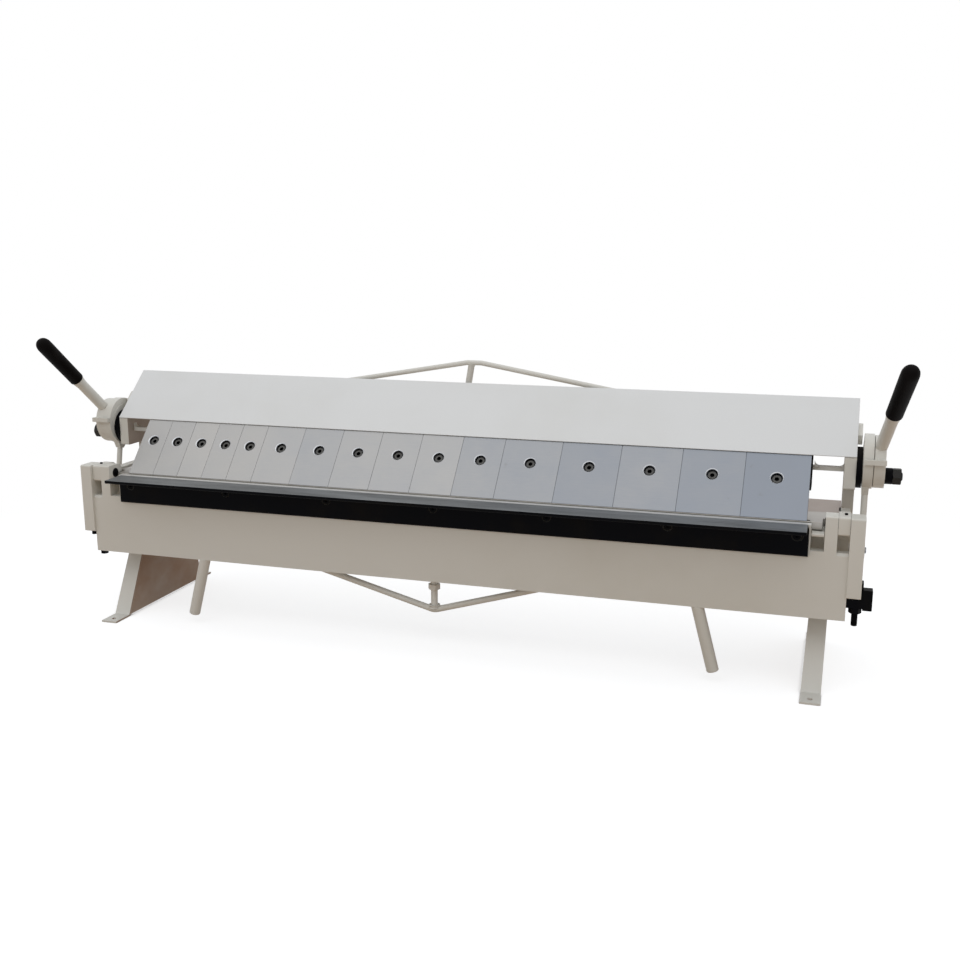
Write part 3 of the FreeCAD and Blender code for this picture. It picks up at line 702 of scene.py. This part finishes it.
angleScrewLook = {
    "pitch": 197.6 * mm,
    "middle": 3.8 * mm,
    "count": 7,
    "seat": (-126.0 * mm, 257.0 * mm),  # Y and Z of the sunk heads' small ends
    "sizes": {"sides": 40, "radius": 6.8 * mm, "height": 4.8 * mm, "faceRadius": 6.3 * mm,
              "seatRadius": 3.95 * mm, "flare": 0.802, "holeSides": 6, "holeRadius": 2.9 * mm,
              "holeDepth": 2.8 * mm, "shankRadius": 3.9 * mm, "shankLength": 13.0 * mm,
              # the heads' chamfers get a painted highlight
              "rollSpread": 2.0, "seed": 9, "bareLow": 0.3, "bareHigh": 0.95, "bareShare": 0.4},
}


def makeAngleScrews(look):
    seats = []
    for number in range(look["count"]):
        x = look["middle"] + (number - look["count"] // 2) * look["pitch"]
        seats.append((Vector((x, *look["seat"])), Vector((0, -1, 0)), Vector((1, 0, 0))))
    grow("angle_bar_screws_sunk", headTree, seats, [], look["sizes"], "black", "angle_bar_screws")


def solidsOf(shape):
    # the faces of each separate solid, in the mesh's order so that every run gives the same
    left = set(shape.faces)
    for first in shape.faces:
        if first not in left:
            continue
        left.remove(first)
        queue = [first]
        for face in queue:  # grows as it runs
            for edge in face.edges:
                near = [other for other in edge.link_faces if other in left]
                left.difference_update(near)
                queue += near
        yield queue


def nutSeats(name):
    # place, axis and corner direction of each nut in a CAD node, with its height and size
    shape = joinedShape(name)
    seats = []
    for faces in solidsOf(shape):
        areas = {}
        for face in faces:
            normal = face.normal
            if max(normal, key=abs) < 0:
                normal = -normal
            key = tuple(round(part, 1) for part in normal)
            total, area = areas.get(key, (Vector(), 0.0))
            areas[key] = (total + normal * face.calc_area(), area + face.calc_area())
        ranked = sorted(areas.values(), key=lambda entry: -entry[1])
        axis, flat = ranked[0][0].normalized(), ranked[1][0].normalized()
        points = {vertex.co.copy().freeze() for face in faces for vertex in face.verts}
        levels = [point.dot(axis) for point in points]
        spans = [point.dot(flat) for point in points]
        middle = sum(points, Vector()) / len(points)
        side = Matrix.Rotation(math.radians(30), 3, axis) @ flat  # from a flat to a corner
        place = middle + axis * (min(levels) - middle.dot(axis))
        seats.append((place, axis, side, max(levels) - min(levels), max(spans) - min(spans)))
    shape.free()
    return seats


nutLook = {
    "bore": 0.55,  # of the width over the flats
    "bevel": 0.95,  # the chamfer's circle, of the width over the flats
    "flare": 1.75,  # how flat the chamfer is
    "holeSides": 32,
    "finishes": {"pivot_nuts": "plated", "fold_stop_nut": "black", "beam_truss_nuts": "painted",
                 "apron_truss_nuts": "painted"},
}


def makeNuts(look):
    for name, finish in look["finishes"].items():
        bySize = {}
        for place, axis, side, height, flats in nutSeats(name):
            bySize.setdefault((round(height, 5), round(flats, 4)), []).append((place, axis, side))
        for number, ((height, flats), seats) in enumerate(sorted(bySize.items())):
            sizes = {"sides": 6, "radius": flats / math.sqrt(3), "height": height,
                     "faceRadius": flats / 2 * look["bevel"], "seatRadius": flats / 2 * look["bevel"],
                     "flare": look["flare"], "holeSides": look["holeSides"],
                     "holeRadius": flats * look["bore"] / 2, "holeDepth": height * 1.3,
                     "shankLength": 0.0}
            grow("%s_%s_%d" % (name, finish, number), headTree, seats, [], sizes, finish, name)


threadLook = {
    "stop": {"radius": 4.95 * mm, "pitch": 1.5 * mm, "depth": 0.62 * mm, "length": 45.0 * mm},
    "stopFoot": Vector((688.5 * mm, -116.0 * mm, 118.0 * mm)),
    "apronRod": {"radius": 6.1 * mm, "pitch": 1.75 * mm, "depth": 0.7 * mm, "length": 44.0 * mm},
    # mm: X, Y and Z of the end, then X and Z that it runs towards
    "apronEnds": [(-570, -98, 214, -7, 67), (530, -98, 226, -7, 67)],
    "beamRod": {"radius": 5.0 * mm, "pitch": 1.5 * mm, "depth": 0.6 * mm, "length": 44.0 * mm},
    "beamEnds": [(-600, 77, 378, -2, 482), (600, 77, 385, 24, 482)],
    "start": 0.3,  # mm from the end
}


def makeThreads(look):
    stop = [(look["stopFoot"], Vector((0, 0, 1)), Vector((1, 0, 0)))]
    grow("fold_stop_screw_threaded", threadTree, stop, [], look["stop"], "black", "fold_stop_screw")
    for rod, ends, sizes in (("apron_truss_rod", "apronEnds", "apronRod"),
                             ("beam_truss_rod", "beamEnds", "beamRod")):
        seats = []
        for x, y, z, aimX, aimZ in look[ends]:
            run = Vector((aimX - x, 0, aimZ - z)).normalized()
            seats.append((Vector((x, y, z)) * mm + run * look["start"] * mm, run, Vector((0, 1, 0))))
        grow(rod + "_threads", threadTree, seats, [], look[sizes], "painted", rod, False)


makeFingerScrews(fingerScrewLook)
makeAngleScrews(angleScrewLook)
makeNuts(nutLook)
makeThreads(threadLook)
print("screws, nuts and threads ready")


# Weld beads, as closed paths round the joints

beadLook = {
    "lug": {"radius": 1.7 * mm, "ripple": 0.15, "step": 0.8 * mm, "seed": 3},
    "post": {"radius": 1.5 * mm, "ripple": 0.14, "step": 0.8 * mm, "seed": 5},
    # rings round the posts: place, axis, radius
    "apron": [(Vector((-7, -98, 127)) * mm, (0, 0, -1), 6.4 * mm),
              (Vector((-7, -98, 76)) * mm, (0, 0, -1), 8.6 * mm)],
    "beam": [(Vector((-2.4, 77, 441)) * mm, (9.5, 0, 56.5), 6.4 * mm)],
    "plate": {"apron": -107.0 * mm, "beam": 70.0 * mm},  # Y of the face that the lugs stand on
}


def ringPath(centre, axis, radius, count=32):
    # a circle about an axis
    turn = Vector(axis).normalized().to_track_quat("Z", "Y")
    angles = [2 * math.pi * index / count for index in range(count)]
    return [centre + turn @ Vector((math.cos(angle), math.sin(angle), 0)) * radius for angle in angles]


def footPaths(name, level):
    # the outline of each solid of a node where it stands on the plane Y = level
    shape = joinedShape(name)
    paths = []
    for faces in solidsOf(shape):
        points = {vertex.co.copy().freeze() for face in faces for vertex in face.verts
                  if abs(vertex.co.y - level) < slack}
        if len(points) != 4:  # not a block that stands there
            continue
        middle = sum(points, Vector()) / len(points)
        around = sorted(points, key=lambda point: math.atan2(point.z - middle.z, point.x - middle.x))
        path = []
        for index, corner in enumerate(around):
            ahead = around[(index + 1) % len(around)]
            path += [corner.lerp(ahead, share) for share in (0.04, 0.5, 0.96)]
        paths.append(path)
    shape.free()
    return paths


def makeBeads(look):
    for part in ("apron", "beam"):
        name = part + "_truss_post"
        feet = footPaths(name, look["plate"][part])
        rings = [ringPath(*ring) for ring in look[part]]
        grow(part + "_lug_welds", beadTree, [], feet, look["lug"], "painted", name, False)
        grow(part + "_post_weld", beadTree, [], rings, look["post"], "painted", name, False)


makeBeads(beadLook)
print("welds ready")


# Lever grips

gripLook = {
    "root": Vector((725.5, -81.0, 443.0)) * mm,  # of the right grip; the left one is its mirror image
    "end": Vector((742.5, -157.5, 523.0)) * mm,
    "bore": 9.8 * mm,
    "boreDepth": 60 * mm,
    # mm from the root, radius
    "profile": [(0.0, 11.4), (0.4, 12.2), (1.2, 12.8), (2.4, 13.0), (8.0, 12.95), (20.0, 13.0),
                (45.0, 13.2), (70.0, 13.45), (88.0, 13.6), (96.0, 13.55)],
    "dome": 12,  # rings in the rounded end
    "domePower": 0.8,  # below 1 it is blunter than a ball
    "count": 64,
    "seam": 0.12 * mm,  # height of the mould's parting line
}


def lathe(profile, place, axis, count, ridge=0.0):
    # a closed shape turned from (distance, radius) pairs; a radius of zero closes a pole
    turn = Vector(axis).normalized().to_track_quat("Z", "Y")
    shape = bmesh.new()
    rings = []
    for distance, radius in profile:
        centre = place + turn @ Vector((0, 0, distance))
        if radius == 0:
            rings.append([shape.verts.new(centre)])
            continue
        ring = []
        for index in range(count):
            angle = 2 * math.pi * index / count
            proud = radius + (ridge if index % (count // 2) == 0 else 0.0)
            spoke = turn @ Vector((math.cos(angle), math.sin(angle), 0))
            ring.append(shape.verts.new(centre + spoke * proud))
        rings.append(ring)
    for lower, upper in zip(rings, rings[1:]):
        for index in range(count):
            ahead = (index + 1) % count
            corners = [lower[index % len(lower)], lower[ahead % len(lower)],
                       upper[ahead % len(upper)], upper[index % len(upper)]]
            shape.faces.new(list(dict.fromkeys(corners)))
    bmesh.ops.recalc_face_normals(shape, faces=shape.faces)
    mesh = finishShape("turned", shape)
    mesh.set_sharp_from_angle(angle=turnedAngle)
    return mesh


def makeGrips(look):
    for side, label in sides:
        mirror = Vector((side, 1, 1))
        root, end = look["root"] * mirror, look["end"] * mirror
        length = (end - root).length
        tip = look["profile"][-1][1] * mm
        profile = [(look["boreDepth"], 0.0), (look["boreDepth"], look["bore"]), (0.0, look["bore"])]
        profile += [(distance * mm, radius * mm) for distance, radius in look["profile"]]
        start = profile[-1][0]
        for step in range(1, look["dome"] + 1):
            angle = math.pi / 2 * step / look["dome"]
            profile.append((start + (length - start) * math.sin(angle),
                            tip * math.cos(angle) ** look["domePower"] if step < look["dome"] else 0.0))
        mesh = lathe(profile, root, end - root, look["count"], look["seam"])
        name = "lever_grip_" + label
        addPiece(name + "_moulded", mesh, "rubber", name)


makeGrips(gripLook)
print("grips ready")


# Pieces whose CAD shape is trimmed a little

legLook = {
    "across": 631.0 * mm,  # the foot holes stay here
    "foot": (631.0 * mm, 0.84), # where that line lands at the bench, and the width against the solid's
    "top": (637.1 * mm, 0.73),  # the same at the height below
    "height": 200.0 * mm,
    "edge": 0.6 * mm,
}


def facesInwards(shape, squarely=0.7):
    # faces that look towards the middle of the machine, for their painted shade
    return [face for face in shape.faces
            if abs(face.normal.x) > squarely and face.normal.x * face.calc_center_median().x < 0]


def makeLegs(look):
    # the pressing is narrower than its envelope and leans out towards the top
    def narrow(shape):
        # brown painted shade on the faces that look inwards
        markFaces(shape, "dust", facesInwards(shape))
        for vertex in shape.verts:
            rise = vertex.co.z / look["height"]
            across, width = [low + (high - low) * rise for low, high in zip(look["foot"], look["top"])]
            side = math.copysign(1, vertex.co.x)
            vertex.co.x = side * (across + (abs(vertex.co.x) - look["across"]) * width)
    for name in ("leg_left", "leg_right"):
        dress(name, "painted", look["edge"], narrow)


plateLook = {
    "edge": 0.6 * mm,
    # strength of the painted shade on the inner faces
    "dust": 0.75,
    "pivot": (94.0 * mm, 165.0 * mm),  # Y and Z of the beam's axis
    "bore": 10.35 * mm,
}


def makeEndPlates(look):
    # painted shade on the inner faces, with the pivot's bore opened a little
    pivot = Vector((0, *look["pivot"]))

    def openAndShade(shape):
        markFaces(shape, "dust", facesInwards(shape), look["dust"])
        for vertex in shape.verts:
            radial = (vertex.co - pivot) * Vector((0, 1, 1))
            if radial.length < look["bore"]:
                vertex.co += radial.normalized() * (look["bore"] - radial.length)
    for name in named("end_plate"):
        dress(name, "painted", look["edge"], openAndShade)


holderLook = {"edge": 0.5 * mm, "short": 2.2 * mm}


def makeHolder(look):
    # the bar behind the fingers ends short of them
    def shorten(shape):
        for vertex in shape.verts:
            vertex.co.x -= math.copysign(look["short"], vertex.co.x)
    dress("finger_holder", "black", look["edge"], shorten)


bedEndLook = {"edge": 0.3 * mm, "rightFrom": 645.0 * mm, "right": 659.2 * mm}


def makeBed(look):
    # the right end reaches up to the end plate
    def lengthen(shape):
        for vertex in shape.verts:
            if vertex.co.x > look["rightFrom"]:
                vertex.co.x = look["right"]
    dress("bed_plate", "machined", look["edge"], lengthen)


strapLook = {
    "link": (693.5 * mm, -8.6 * mm, 302.05 * mm),  # where the neck's foot meets the link
    "neck": 11.0 * mm,
    "low": 299.0 * mm,
    "high": 305.0 * mm,
    "shares": (0.93, 0.58, 0.58),  # X, Y and Z of the neck's foot, against the solid's
    "edge": 0.8 * mm,
}


def makeStraps(look):
    # the ring's neck runs out into the round link
    def taper(shape):
        foot = [vertex for vertex in shape.verts
                if abs(abs(abs(vertex.co.x) - look["link"][0]) - look["neck"] / 2) < slack
                and look["low"] < vertex.co.z < look["high"]]
        for vertex in foot:
            link = Vector((math.copysign(look["link"][0], vertex.co.x), *look["link"][1:]))
            offset = vertex.co - link
            vertex.co = link + Vector(part * share for part, share in zip(offset, look["shares"]))
    for name in named("link_strap"):
        dress(name, "painted", look["edge"], taper)


angleLook = {
    "rightEnd": 600.0 * mm,  # points past it, under the top leg, move out
    "topLeg": 6.5 * mm,
    "longer": 2.5 * mm,
    "edge": 0.5 * mm,
    "sinkHeight": 257.0 * mm,
    "sinkReach": 8.2 * mm,
    "sinkSlope": (0.3, 0.95),  # how far the countersinks' faces look to the front
    "sinkBare": 0.35,
}


def makeAngleBar(look):
    # the countersinks are turned bright, and the right end reaches a little farther
    def brighten(shape):
        for vertex in shape.verts:
            if vertex.co.x > look["rightEnd"] and vertex.co.z < hingeAxis.z - look["topLeg"]:
                vertex.co.x += look["longer"]
        low, high = look["sinkSlope"]
        sinks = [face for face in shape.faces if low < -face.normal.y < high
                 and abs(face.calc_center_median().z - look["sinkHeight"]) < look["sinkReach"]]
        markFaces(shape, "bare", sinks, look["sinkBare"])
    dress("angle_bar", "blackened", look["edge"], brighten)


coverLook = {
    "thickness": 4.0 * mm,  # of the solid
    "shown": 1.6 * mm,
    "lowered": (4.1 * mm, 1.4 * mm),  # Y and Z by which the foot moves, down to the fingers
    "rise": (95.0, 83.0),  # Y and Z from the cover's foot to its top
    "foot": (-31.0 * mm, 364.0 * mm),
    "edge": 0.5 * mm,
}


def makeCover(look):
    # the folded sheet is thinner than the plate that stands for it
    run = Vector((0, *look["rise"])).normalized()
    out = Vector((0, -run.z, run.y))
    foot = Vector((0, *look["foot"]))

    def thin(shape):
        for vertex in shape.verts:
            depth = -(vertex.co - foot).dot(out)
            if depth > look["thickness"] / 2:
                vertex.co += out * (depth - look["shown"])
            if (vertex.co - foot).dot(run) < look["thickness"]:
                vertex.co += Vector((0, *look["lowered"]))
    dress("cover_plate", "coverPaint", look["edge"], thin)


# Bolts and plugs that the solids show plainly

boltLook = {
    "axis": (-2.3 * mm, 333.4 * mm),  # Y and Z of the levers' fixed centres
    "shank": (664.0 * mm, 7.0 * mm),  # X where it starts, radius
    "collar": (721.3 * mm, 13.0 * mm),
    "nutFrom": 733.0 * mm,
    "nut": {"sides": 6, "radius": 13.9 * mm, "height": 13.5 * mm, "flare": 1.75, "faceRadius": 11.6 * mm,
            "seatRadius": 11.6 * mm, "holeSides": 32, "holeRadius": 6.6 * mm, "holeDepth": 16.0 * mm,
            # the nut's flanks get a painted highlight
            "shankLength": 0.0, "bareFrom": 0.3, "bareLow": -0.1, "bareHigh": 0.8, "bareShare": 0.35},
    "tip": 748.5 * mm,
    "collarChamfer": 0.8 * mm,
    "tipChamfer": (1.5 * mm, 1.8 * mm),  # along the bolt, and off its radius
}


def makePivotBolts(look):
    shankFrom, shankRadius = look["shank"]
    collarFrom, collarRadius = look["collar"]
    chamfer, (tipLong, tipDeep) = look["collarChamfer"], look["tipChamfer"]
    outline = [(shankFrom, 0.0), (shankFrom, shankRadius), (collarFrom, shankRadius),
               (collarFrom, collarRadius - chamfer), (collarFrom + chamfer, collarRadius),
               (look["nutFrom"], collarRadius), (look["nutFrom"], shankRadius),
               (look["tip"] - tipLong, shankRadius), (look["tip"], shankRadius - tipDeep),
               (look["tip"], 0.0)]  # X and radius
    profile = [(x - shankFrom, radius) for x, radius in outline]
    seats = []
    for side, label in sides:
        axis = Vector((side, 0, 0))
        mesh = lathe(profile, Vector((side * shankFrom, *look["axis"])), axis, 48)
        addPiece("pivot_bolt_" + label, mesh, "black", "pivot_bolts")
        seats.append((Vector((side * look["nutFrom"], *look["axis"])), axis, Vector((0, 0.5, 0.8))))
    grow("pivot_bolt_nuts", headTree, seats, [], look["nut"], "black", "pivot_bolts")


# black oiler caps in the hinge tongues' oil holes; their black also stands in for the shade inside the
# holes
oilerLook = {
    "place": (667.0 * mm, -106.0 * mm, 289.4 * mm),  # on the tongues of the hinge
    "profile": [(0.0, 0.0), (0.0, 2.4), (3.0, 2.4), (3.2, 2.1), (3.2, 0.0)],  # mm: height, radius
}


def makeOilers(look):
    x, y, z = look["place"]
    profile = [(height * mm, radius * mm) for height, radius in look["profile"]]
    for side, label in sides:
        mesh = lathe(profile, Vector((side * x, y, z)), (0, 0, 1), 24)
        addPiece("hinge_oiler_" + label, mesh, "black", "hinge_block_" + label, False)


makeLegs(legLook)
makeCover(coverLook)
makeEndPlates(plateLook)
makeHolder(holderLook)
makeBed(bedEndLook)
makeStraps(strapLook)
makeAngleBar(angleLook)
makePivotBolts(boltLook)
makeOilers(oilerLook)
print("trimmed pieces ready")


dressing = [
    # the finish, the softened edge and what the nodes' names start with
    ("leafPaint", 0.8 * mm, ["apron_leaf"]),
    ("painted", 0.6 * mm, ["tie_bar"]),
    ("painted", 1.2 * mm, ["hinge_block"]),
    ("painted", 0.6 * mm, ["bed_rail", "bed_ribs"]),
    ("painted", 0.4 * mm, ["apron_truss_rod", "apron_truss_post", "beam_truss_rod", "beam_truss_post",
                           "bend_handle"]),
    ("painted", 0.8 * mm, ["clamp_lever"]),
    ("black", 0.5 * mm, ["spacer_discs", "fold_stop", "hinge_pins", "leg_bolts", "ear_screws"]),
    ("plated", 0.5 * mm, ["pivot_studs", "anchor_pins"]),
]


def dressNodes():
    dress("back_plate", "painted", 0.6 * mm, slot="cover_paint")
    for finish, edge, starts in dressing:
        for name in named(*starts):
            if name not in done:
                dress(name, finish, edge)
    print("CAD nodes stood for:", len(done))
    bare = [name for name in frame["nodes"] if name not in done]
    if bare:
        print("nodes left as they are:", bare)


dressNodes()


# Floor, light and camera

stageLook = {
    "floor": srgb(186, 160, 132),  # what the floor throws back onto the machine
    "size": 14.0,
    "fade": (0.9, 1.5),  # where the floor turns to plain white, metres from the middle
    "pale": 0.5,  # the floor's share of the lamps' light, as the camera sees it
    "glow": 0.72,  # its own light on top of that
    "close": srgb(70, 62, 56),  # painted contact shadow: the floor's colour right under a foot
    "closeReach": 12.0 * mm,
    "closeFade": (0.35, 0.8),  # openness of a place that is quite dark, and of one quite clear
    "sky": srgb(236, 240, 246),
    "skyStrength": 0.64,
    "lamps": [
        # name, place, size, power; each one looks at the machine
        ("overhead", (0.0, -0.9, 2.9), (5.0, 4.0), 37.0),
        ("front", (0.3, -4.5, 1.3), (5.0, 2.5), 10.0),
    ],
}


def straightRays(place):
    # 1 for what the camera, a mirror or glass sees, 0 for light that falls on things
    rays = place.node("ShaderNodeLightPath")
    seen = rays.other("Is Camera Ray") + rays.other("Is Glossy Ray") + rays.other("Is Transmission Ray")
    return seen.sum("MINIMUM", seen, 1.0)


def makeFloor(look):
    half = look["size"] / 2
    mesh = bpy.data.meshes.new("floor")
    mesh.from_pydata([(-half, -half, 0), (half, -half, 0), (half, half, 0), (-half, half, 0)], [],
                     [(0, 1, 2, 3)])
    floor = newObject("floor", mesh)
    material, place = startFinish("paleFloor")
    lit = place.node("ShaderNodeBsdfDiffuse", None, {"Color": look["floor"]})
    # painted contact shadow where the machine stands close above the floor
    close = place.node("ShaderNodeAmbientOcclusion", {"samples": 8}, {"Distance": look["closeReach"]}, 1)
    close = close.clamped(*look["closeFade"])
    dim = close.mix(look["close"], (1, 1, 1, 1))
    shaded = close.mix(look["close"], (look["pale"],) * 3 + (1,))
    glow = place.node("ShaderNodeEmission", None, {"Color": dim, "Strength": look["glow"]})
    pale = place.node("ShaderNodeBsdfDiffuse", None, {"Color": shaded})
    near = place.node("ShaderNodeAddShader", None, {0: pale, 1: glow})
    white = place.node("ShaderNodeEmission", None, {"Color": (1, 1, 1, 1), "Strength": 1.0})
    distance = place.node("ShaderNodeVectorMath", {"operation": "LENGTH"}, {0: place}, 1)
    bright = place.node("ShaderNodeMixShader", None,
                        {0: distance.clamped(*look["fade"]), 1: near, 2: white})
    shader = place.node("ShaderNodeMixShader", None, {0: straightRays(place), 1: lit, 2: bright})
    place.node("ShaderNodeOutputMaterial", None, {"Surface": shader})
    mesh.materials.append(material)


def makeWorld(look):
    world = bpy.data.worlds.new("studio")
    bpy.context.scene.world = world
    world.use_nodes = True
    world.node_tree.nodes.clear()
    start = Link(world.node_tree, None)
    soft = start.node("ShaderNodeBackground", None,
                      {"Color": look["sky"], "Strength": look["skyStrength"]})
    white = start.node("ShaderNodeBackground", None, {"Color": (1, 1, 1, 1), "Strength": 1.0})
    shader = start.node("ShaderNodeMixShader", None, {0: straightRays(start), 1: soft, 2: white})
    start.node("ShaderNodeOutputWorld", None, {"Surface": shader})


def makeLamp(name, place, size, power, target=(0, 0, 0.3)):
    light = bpy.data.lights.new(name, "AREA")
    light.shape = "RECTANGLE"
    light.size, light.size_y = size
    light.energy = power
    lamp = newObject(name, light)
    lamp.location = place
    lamp.rotation_euler = (Vector(target) - Vector(place)).to_track_quat("-Z", "Y").to_euler()


cameraLook = {
    "place": (0.645525, -1.873608, 0.708106),
    "turn": (77.7921, 0.0884, 17.7349),  # degrees
    "lens": 42.426,
    "sensor": 36.0,
}


def makeCamera(look):
    data = bpy.data.cameras.new("photoCamera")
    data.lens = look["lens"]
    data.sensor_width = look["sensor"]
    data.clip_start = 0.05
    camera = newObject("photoCamera", data)
    camera.location = look["place"]
    camera.rotation_euler = [math.radians(angle) for angle in look["turn"]]
    bpy.context.scene.camera = camera


makeFloor(stageLook)
makeWorld(stageLook)
for lampEntry in stageLook["lamps"]:
    makeLamp(*lampEntry)
makeCamera(cameraLook)
bpy.context.scene.view_settings.view_transform = "Standard"
print("stage ready")
